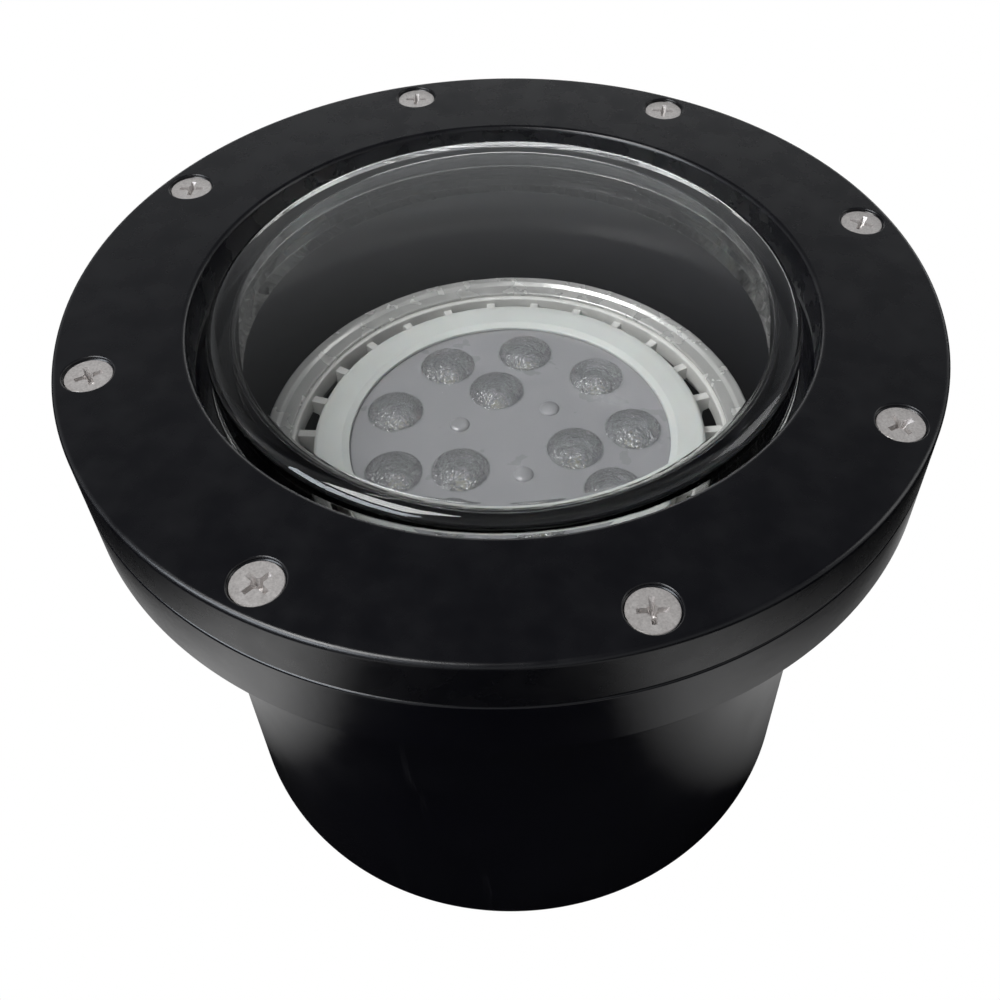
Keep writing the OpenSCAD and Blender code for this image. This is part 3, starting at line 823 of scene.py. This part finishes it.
def yoke():
    """A strip bent into a U, with the pan hole in its base and a pivot hole in each arm."""
    out, thick, width = reach("yoke"), 2, 16
    foot, low, bend, high = 44, bottom("yoke"), 58, top("yoke")
    strip = outline((-foot, low, 5), (foot, low, 5), (out, bend, 12), (out, high, 0),
                    (out - thick, high, 0), (out - thick, bend + 0.6, 10),
                    (foot - 1.3, low + thick, 3), (1.3 - foot, low + thick, 3),
                    (thick - out, bend + 0.6, 10), (thick - out, high, 0),
                    (-out, high, 0), (-out, bend, 12))
    sheet = extrude("yoke_strip", strip, width)
    turn = spin(math.pi / 2, "Y")
    ends = moved(post("arm_ends", width / 2, -81, 81, 96), shift(0, 0, PIVOT_Z), turn)
    whole = slab("strip_reach", (-81, -width / 2, -6), (81, width / 2, PIVOT_Z))
    boolean(whole, ends, "UNION")
    boolean(sheet, whole, "INTERSECT")
    boolean(sheet, post("pan_hole", 2.58, low - 2, low + 6))
    boolean(sheet, moved(post("pivot_hole", 2.08, -80, 80), shift(0, 0, PIVOT_Z), turn))
    edge = sheet.modifiers.new("eased edges", "BEVEL")
    edge.width = 0.25 * MM
    edge.segments = 2
    edge.limit_method = "ANGLE"
    edge.angle_limit = math.radians(50)
    return finish_piece(sheet, SHEET, "yoke", "stainless_sheet", "yoke")


def pan_head(name, r, length, head, height, bit=0.55, pitch=0.7):
    """A pan-head screw pointing down, its head standing on z 0."""
    cap = lathe(name, outline((0, 0, 0), (head, 0, 0.1), (head, height * 0.55, height * 0.4),
                              (head * 0.6, height, 0.6), (0, height, 0)), 48, closed=False)
    cross_recess(cap, head * bit, height * 0.8, height)
    return join(name, [cap, thread(name + "_shank", r, pitch, -length, 0.05, depth=0.22,
                                   segments=24)])


def washer(name, inner, outer, z0, z1):
    return lathe(name, outline((inner, z0, 0.1), (outer, z0, 0.12), (outer, z1, 0.12),
                               (inner, z1, 0.1)), 64)


def yoke_fixings():
    bolt = moved(pan_head("yoke_pan_bolt", 2.5, 9, 4.6, 3.2), shift(0, 0, bottom("yoke") + 2.05))
    finish_piece(bolt, SCREW, "housing", "stainless_fasteners", "yoke_bolt")
    pad = washer("yoke_pan_washer", 2.6, reach("yoke_washer"), BOSS_TOP, top("yoke_washer"))
    finish_piece(pad, PALE, "housing", "white_washers", "yoke_washer")


LEAD_R = 0.9
LEAD_STEPS = 10
LEAD_SIDES = 16
LIVE_ROUTE = [(19.5, -8, 19), (19.5, -14, 19), (18.5, -22, 21), (15, -26, 28), (11, -23, 36),
              (9, -17, 38.9), (9, -11, 38.9)]
RETURN_ROUTE = [(28.5, -8, 19), (28.5, -15, 19), (25, -25, 20), (14, -33, 25), (1, -34, 31),
                (-6, -28, 36), (-9, -19, 38.8), (-9, -11, 38.9)]


def lead(name, route, material, node):
    """A lead swept along its route."""
    points = [Vector(p) for p in route]
    path = []
    for i in range(len(points) - 1):
        a, b = points[max(i - 1, 0)], points[i]
        c, d = points[i + 1], points[min(i + 2, len(points) - 1)]
        for k in range(LEAD_STEPS):
            t = k / LEAD_STEPS
            path.append(0.5 * (2 * b + (c - a) * t + (2 * a - 5 * b + 4 * c - d) * t * t
                               + (3 * b - a - 3 * c + d) * t ** 3))
    path.append(points[-1])
    bm = bmesh.new()
    rings = []
    for i, p in enumerate(path):
        along = (path[min(i + 1, len(path) - 1)] - path[max(i - 1, 0)]).normalized()
        side = along.cross(Vector((0.31, 0.17, 1))).normalized()
        up = along.cross(side)
        turns = [2 * math.pi * k / LEAD_SIDES for k in range(LEAD_SIDES)]
        rings.append([bm.verts.new((p + LEAD_R * (math.cos(a) * side + math.sin(a) * up)) * MM)
                      for a in turns])
    for low, high in zip(rings, rings[1:]):
        skin(bm, low, high)
    bm.faces.new(rings[0])
    bm.faces.new(rings[-1])
    wire = as_object(name, bm)
    wire.data.materials.append(material)
    wire.data.shade_smooth()
    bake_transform(wire)
    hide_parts(node)


# ---- Lamp ----

def lamp_ring():
    """The spun band round the lamp, with a rolled lip and holes for the pivots and clips."""
    high, low = top("lamp_ring"), bottom("lamp_ring")
    wall_in, lip_in, lip_low = RING_R - 1.2, 52.2, FACE + 0.1
    band = lathe("lamp_ring_band", outline(
        (wall_in, low, 0.3), (RING_R, low, 0.3), (RING_R, high, 0.9), (RING_R - 2.4, high, 0.8),
        (RING_R - 3.2, high - 0.8, 0.3), (lip_in, high - 0.9, 0.4), (lip_in, lip_low, 0.3),
        (wall_in, lip_low, 0.2)), 192)
    pivot_r, clip_r = 2.05, 1.55
    for angle, r in ((0, pivot_r), (math.pi, pivot_r), (math.pi / 2, clip_r),
                     (math.pi * 7 / 6, clip_r), (math.pi * 11 / 6, clip_r)):
        hole = post("ring_hole", r, RING_R - 4, RING_R + 4, 32)
        boolean(band, moved(hole, shift(0, 0, PIVOT_Z), spin(angle), spin(math.pi / 2, "Y")))
    return finish_piece(band, SHINE, "lamp", "stainless_ring", "lamp_ring")


def pivots():
    head_x = reach("yoke") + 0.1
    screw = moved(pan_head("pivot_screw_pair", 2, head_x - 52.8, 3.6, 2), shift(0, 0, head_x))
    finish_piece(on_pivots("pivot_screw_pair", screw), SCREW, "lamp", "stainless_fasteners",
                 "pivot_screws")
    nut = lathe("pivot_nut_pair", hex_outline(7, 2.05, 53.8, RING_R - 1.3, 0.6), 72)
    finish_piece(on_pivots("pivot_nut_pair", nut), SCREW, "lamp", "stainless_fasteners",
                 "pivot_nuts")
    pad = washer("pivot_washer_pair", 2.1, 4.5, RING_R + 0.1, reach("pivot_washers"))
    finish_piece(on_pivots("pivot_washer_pair", pad), PALE, "lamp", "white_washers",
                 "pivot_washers")


def heatsink():
    """The lamp's white casting: stepped rim, cup, and the ribs whose gaps show round the bezel."""
    floor_z = bottom("thermal_pad")
    cup_in, cup_top = CUP_R - 2.5, FACE - 1.2
    tail_r, tail_in, tail_low = 29.5, 26, PIVOT_Z - 33
    rim = lathe("rim", outline(
        (RIM_INNER_R, FACE - 5.2, 0.5), (RIM_R, FACE - 5.2, 0.5), (RIM_R, FACE - 0.9, 0.5),
        (54.3, FACE - 0.9, 0.25), (54.3, FACE, 0.4), (RIM_INNER_R, FACE, 0.5)), 192)
    cup = lathe("cup", outline(
        (0, floor_z, 0), (cup_in, floor_z, 1), (cup_in, cup_top, 0.3), (CUP_R, cup_top, 0.3),
        (CUP_R, PIVOT_Z - 5, 8), (tail_r, tail_low, 1), (tail_in, tail_low, 0.5),
        (tail_in, PIVOT_Z - 7, 1), (23, PIVOT_Z - 4, 1), (0, PIVOT_Z - 4, 0)), 192, closed=False)
    web = outline((CUP_R - 1, FACE - 1.6, 0), (RIM_INNER_R + 0.6, FACE - 1.6, 0.6),
                  (RIM_INNER_R + 0.6, FACE - 5.4, 0), (50, FACE - 6, 0.5), (50, PIVOT_Z, 3),
                  (34, PIVOT_Z - 31, 2), (28.5, PIVOT_Z - 31, 0), (44, PIVOT_Z - 7, 0))
    rib = extrude("rib", web, RIB_T)
    ribs = copies("ribs", rib, [spin(LED_PHASE + 2 * math.pi * k / RIBS) for k in range(RIBS)])
    edge = ribs.modifiers.new("eased", "BEVEL")
    edge.width = 0.3 * MM
    edge.segments = 2
    edge.limit_method = "ANGLE"
    edge.angle_limit = math.radians(50)
    graph = bpy.context.evaluated_depsgraph_get()
    ribs.data = bpy.data.meshes.new_from_object(ribs.evaluated_get(graph))
    ribs.modifiers.clear()
    casting = join("lamp_casting", [rim, cup, ribs])
    return finish_piece(casting, CASTING, "lamp", "lamp_heatsink", "lamp_heatsink")


def bezel():
    """The wide white bezel, with a soft crown, and the collar that centres the optic."""
    ring = lathe("lamp_bezel_ring", outline(
        (BEZEL_INNER_R, FACE - 0.1, 0.3), (BEZEL_R, FACE - 0.1, 0.3), (BEZEL_R, BEZEL_TOP, 1.2),
        (BEZEL_R - 2.4, BEZEL_TOP, 0.4), (BEZEL_INNER_R + 1.6, BEZEL_TOP - 0.35, 0.5),
        (BEZEL_INNER_R, BEZEL_TOP - 1.0, 0.3)), 192)
    low, high = BOARD_TOP + 0.1, FACE + 0.4
    inner, outer = OPTIC_R + 0.2, OPTIC_R + 1.8
    collar = lathe("collar", outline((inner, low, 0.2), (outer, low, 0.2), (outer, high, 0.2),
                                     (inner, high, 0.2)), 192)
    return finish_piece(join("lamp_bezel_ring", [ring, collar]), BEZEL, "lamp", "lamp_bezel",
                        "lamp_bezel")


def led_places(z=0.0):
    """The places of the outer and inner emitters."""
    return (round_matrices(9, OUTER_LED_R, LED_PHASE, z)
            + round_matrices(3, INNER_LED_R, LED_PHASE + math.radians(100), z))


def optic():
    """The optic: a hazy plate with a well at each emitter, clear lenses and small pips."""
    plate = post("optic_front", OPTIC_R, OPTIC_TOP - 2, OPTIC_TOP, 192, edge=0.3)
    wells = copies("wells", post("well", BUMP_R - 0.35, OPTIC_TOP - 5, OPTIC_TOP + 2, 64),
                   led_places())
    boolean(plate, wells)
    pip = lathe("pip", [(0, OPTIC_TOP - 0.6), (PIP_R, OPTIC_TOP - 0.6)]
                + arc(0, OPTIC_TOP, PIP_R, 0, 90, 8)[:-1] + [(0, OPTIC_TOP + PIP_R)], 32,
                closed=False)
    moved(pip, shift(0, 0, OPTIC_TOP), Matrix.Diagonal((1, 1, 0.4, 1)), shift(0, 0, -OPTIC_TOP))
    pips = copies("pips", pip, round_matrices(3, PIP_CIRCLE_R, LED_PHASE + math.radians(40)))
    finish_piece(join("optic_front", [plate, pips]), PLATE, "lamp", "lamp_optic", "lamp_optic")

    ball = (BUMP_R ** 2 + BUMP_H ** 2) / (2 * BUMP_H)
    edge = math.degrees(math.acos(BUMP_R / ball))
    crown = arc(0, OPTIC_TOP + BUMP_H - ball, ball, edge, 90, 16)[:-1] + [(0, OPTIC_TOP + BUMP_H)]
    under = arc(0, OPTIC_TOP - 5.2, 4.2, 90, 30, 8)
    dome = lathe("dome", under + [(BUMP_R, OPTIC_TOP - 0.3)] + crown, 72,
                 closed=False)
    domes = copies("optic_lenses", dome, led_places())
    finish_piece(domes, ACRYLIC, "lamp", "lamp_optic", sharp=50)

    cup = lathe("cup_wall", [(2.9, BOARD_TOP + 1.0), (BUMP_R - 0.6, OPTIC_TOP - 2.3),
                             (BUMP_R - 0.1, OPTIC_TOP - 2.3), (3.2, BOARD_TOP + 0.8)], 48)
    cups = copies("optic_collimators", cup, led_places())
    finish_piece(cups, MIRROR, "lamp", "lamp_optic")


def clad(material, *nodes):
    """Gives CAD nodes that keep their own shape a material."""
    for name in nodes:
        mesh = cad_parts[name].data
        mesh.materials.clear()
        mesh.materials.append(material)


def kept_nodes():
    """The sealed inner pieces, whose CAD shape is right as it is."""
    clad(BRASS, "flange_inserts", "yoke_insert", "lamp_terminals")
    clad(TINNED, "lead_lugs")
    clad(SCREW, "board_screws", "clip_screws", "terminal_screws")
    clad(SHEET, "ring_clips")
    clad(PALE, "terminal_block", "lamp_base")
    clad(PAD, "thermal_pad")
    clad(LED_BOARD, "led_board")
    clad(PHOSPHOR, "led_emitters")
    clad(GREEN_BOARD, "driver_board")
    clad(COMPONENT, "driver_parts")


# ---- Studio ----

def soft_box(name, place, aim, width, height, power, colour=(1, 1, 1)):
    """A rectangular area light at a place, turned towards another."""
    light = bpy.data.lights.new(name, "AREA")
    light.shape = "RECTANGLE"
    light.size = width
    light.size_y = height
    light.energy = power
    light.color = colour
    lamp = bpy.data.objects.new(name, light)
    bpy.context.scene.collection.objects.link(lamp)
    lamp.location = place
    lamp.rotation_euler = (Vector(aim) - Vector(place)).to_track_quat("-Z", "Y").to_euler()
    return lamp


def card(name, place, aim, width, height, strength):
    """A glowing bluish card in the air. Only mirrored rays see it."""
    f = Finish(name, (0, 0, 0), 1.0, Specular_IOR_Level=0.0)
    f.set(f.shader, "Emission Color", (0.86, 0.92, 1, 1))
    f.set(f.shader, "Emission Strength", strength)
    sheet = slab(name, (-width / 2, -height / 2, -1), (width / 2, height / 2, 1))
    sheet.data.materials.append(f.material)
    sheet.location = place
    sheet.rotation_euler = (Vector(aim) - Vector(place)).to_track_quat("-Z", "Y").to_euler()
    sheet.visible_camera = sheet.visible_diffuse = sheet.visible_shadow = False
    sheet.visible_transmission = False


def studio():
    """A white background and floor, a room that is dim overhead, soft boxes and a card."""
    world = bpy.data.worlds.new("studio")
    bpy.context.scene.world = world
    world.use_nodes = True
    tree = world.node_tree
    new, link = tree.nodes.new, tree.links.new
    split = new("ShaderNodeSeparateXYZ")
    link(new("ShaderNodeTexCoord").outputs["Generated"], split.inputs[0])
    fade = new("ShaderNodeMapRange")
    fade.interpolation_type = "SMOOTHSTEP"
    for socket, number in (("From Min", 0.3), ("From Max", 0.85), ("To Min", 0.38),
                           ("To Max", 0.07)):
        fade.inputs[socket].default_value = number
    link(split.outputs["Z"], fade.inputs["Value"])
    room = tree.nodes["Background"]
    room.inputs["Color"].default_value = (0.95, 0.98, 1, 1)
    link(fade.outputs["Result"], room.inputs["Strength"])
    white = new("ShaderNodeBackground")
    white.inputs["Color"].default_value = (1, 1, 1, 1)
    choose = new("ShaderNodeMixShader")
    link(new("ShaderNodeLightPath").outputs["Is Camera Ray"], choose.inputs[0])
    link(room.outputs[0], choose.inputs[1])
    link(white.outputs[0], choose.inputs[2])
    link(choose.outputs[0], tree.nodes["World Output"].inputs["Surface"])

    bm = bmesh.new()
    bmesh.ops.create_circle(bm, cap_ends=True, segments=96, radius=3)
    floor = as_object("floor", bm)
    floor.data.materials.append(pale_floor())

    middle = (0, 0, 0.1)
    soft_box("key", (-0.4, -0.34, 0.92), middle, 0.45, 0.4, 7)
    card("front_left", (-0.68, -0.61, 0.6), middle, 760, 360, 9)
    soft_box("back_strip", (0.1, 1.3, 0.42), middle, 2.2, 0.16, 2.4)
    soft_box("right", (0.9, 0.15, 0.55), middle, 0.4, 0.6, 1.2)


def pale_floor():
    """A plain white floor to the camera. To mirrored rays it is dark but for a lighter strip on
    each side of the pot, which leaves soft upright highlights on the black body."""
    f = Finish("pale_floor", (0.8, 0.8, 0.8), 0.8)
    path = f.tree.nodes.new("ShaderNodeLightPath")
    seen, mirrored = path.outputs["Is Camera Ray"], path.outputs["Is Glossy Ray"]
    across = f.node("ShaderNodeSeparateXYZ", "X", Vector=f.place)
    absolute = f.tree.nodes.new("ShaderNodeMath")
    absolute.operation = "ABSOLUTE"
    f.set(absolute, 0, across)
    out = absolute.outputs[0]
    glow = f.mix(f.band(across, -0.01, 0.01), (0.95,) * 3, (0.6,) * 3)
    rise = f.mix(f.band(out, 0.068, 0.105), (0, 0, 0), glow)
    sides = f.mix(f.band(out, 0.125, 0.16), rise, (0, 0, 0))
    f.colour(f.mix(seen, f.mix(mirrored, (0.7, 0.7, 0.7), (0.01, 0.01, 0.01)), (0, 0, 0)))
    f.set(f.shader, "Specular IOR Level", 0.0)
    f.set(f.shader, "Emission Color", f.mix(seen, f.mix(mirrored, (0, 0, 0), sides), (1, 1, 1)))
    f.set(f.shader, "Emission Strength", 1.0)
    return f.material


def camera():
    """The camera, above and in front, turned a little past the object's axis."""
    stand, height = 0.1866, 0.2902
    azimuth, heading = math.radians(-82.53), math.radians(93.91)
    down, roll = math.radians(44.55), math.radians(-0.675)
    data = bpy.data.cameras.new("camera")
    data.sensor_width = 36
    data.lens = 40.36
    data.shift_x = -0.0595
    data.shift_y = -0.0972
    data.clip_start = 0.01
    eye = bpy.data.objects.new("camera", data)
    bpy.context.scene.collection.objects.link(eye)
    forward = Vector((math.cos(heading) * math.cos(down), math.sin(heading) * math.cos(down),
                      -math.sin(down)))
    level = forward.cross(Vector((0, 0, 1))).normalized()
    right = math.cos(roll) * level + math.sin(roll) * forward.cross(level)
    up = right.cross(forward)
    turn = Matrix((right, up, -forward)).transposed().to_4x4()
    eye.matrix_world = Matrix.Translation((stand * math.cos(azimuth), stand * math.sin(azimuth),
                                           height)) @ turn
    bpy.context.scene.camera = eye


def render_settings():
    scene = bpy.context.scene
    scene.view_settings.view_transform = "Standard"
    scene.cycles.use_denoising = True
    scene.cycles.max_bounces = 14
    scene.cycles.transmission_bounces = 14
    scene.cycles.transparent_max_bounces = 16
    scene.cycles.glossy_bounces = 6
    scene.cycles.diffuse_bounces = 4


camera()
housing()
seals()
gland()
cover_ring()
cover_screws()
lens()
yoke()
yoke_fixings()
lead("lead_live_wire", LIVE_ROUTE, RED_LEAD, "lead_live")
lead("lead_return_wire", RETURN_ROUTE, BLACK_LEAD, "lead_return")
lamp_ring()
pivots()
heatsink()
bezel()
optic()
kept_nodes()
studio()
render_settings()
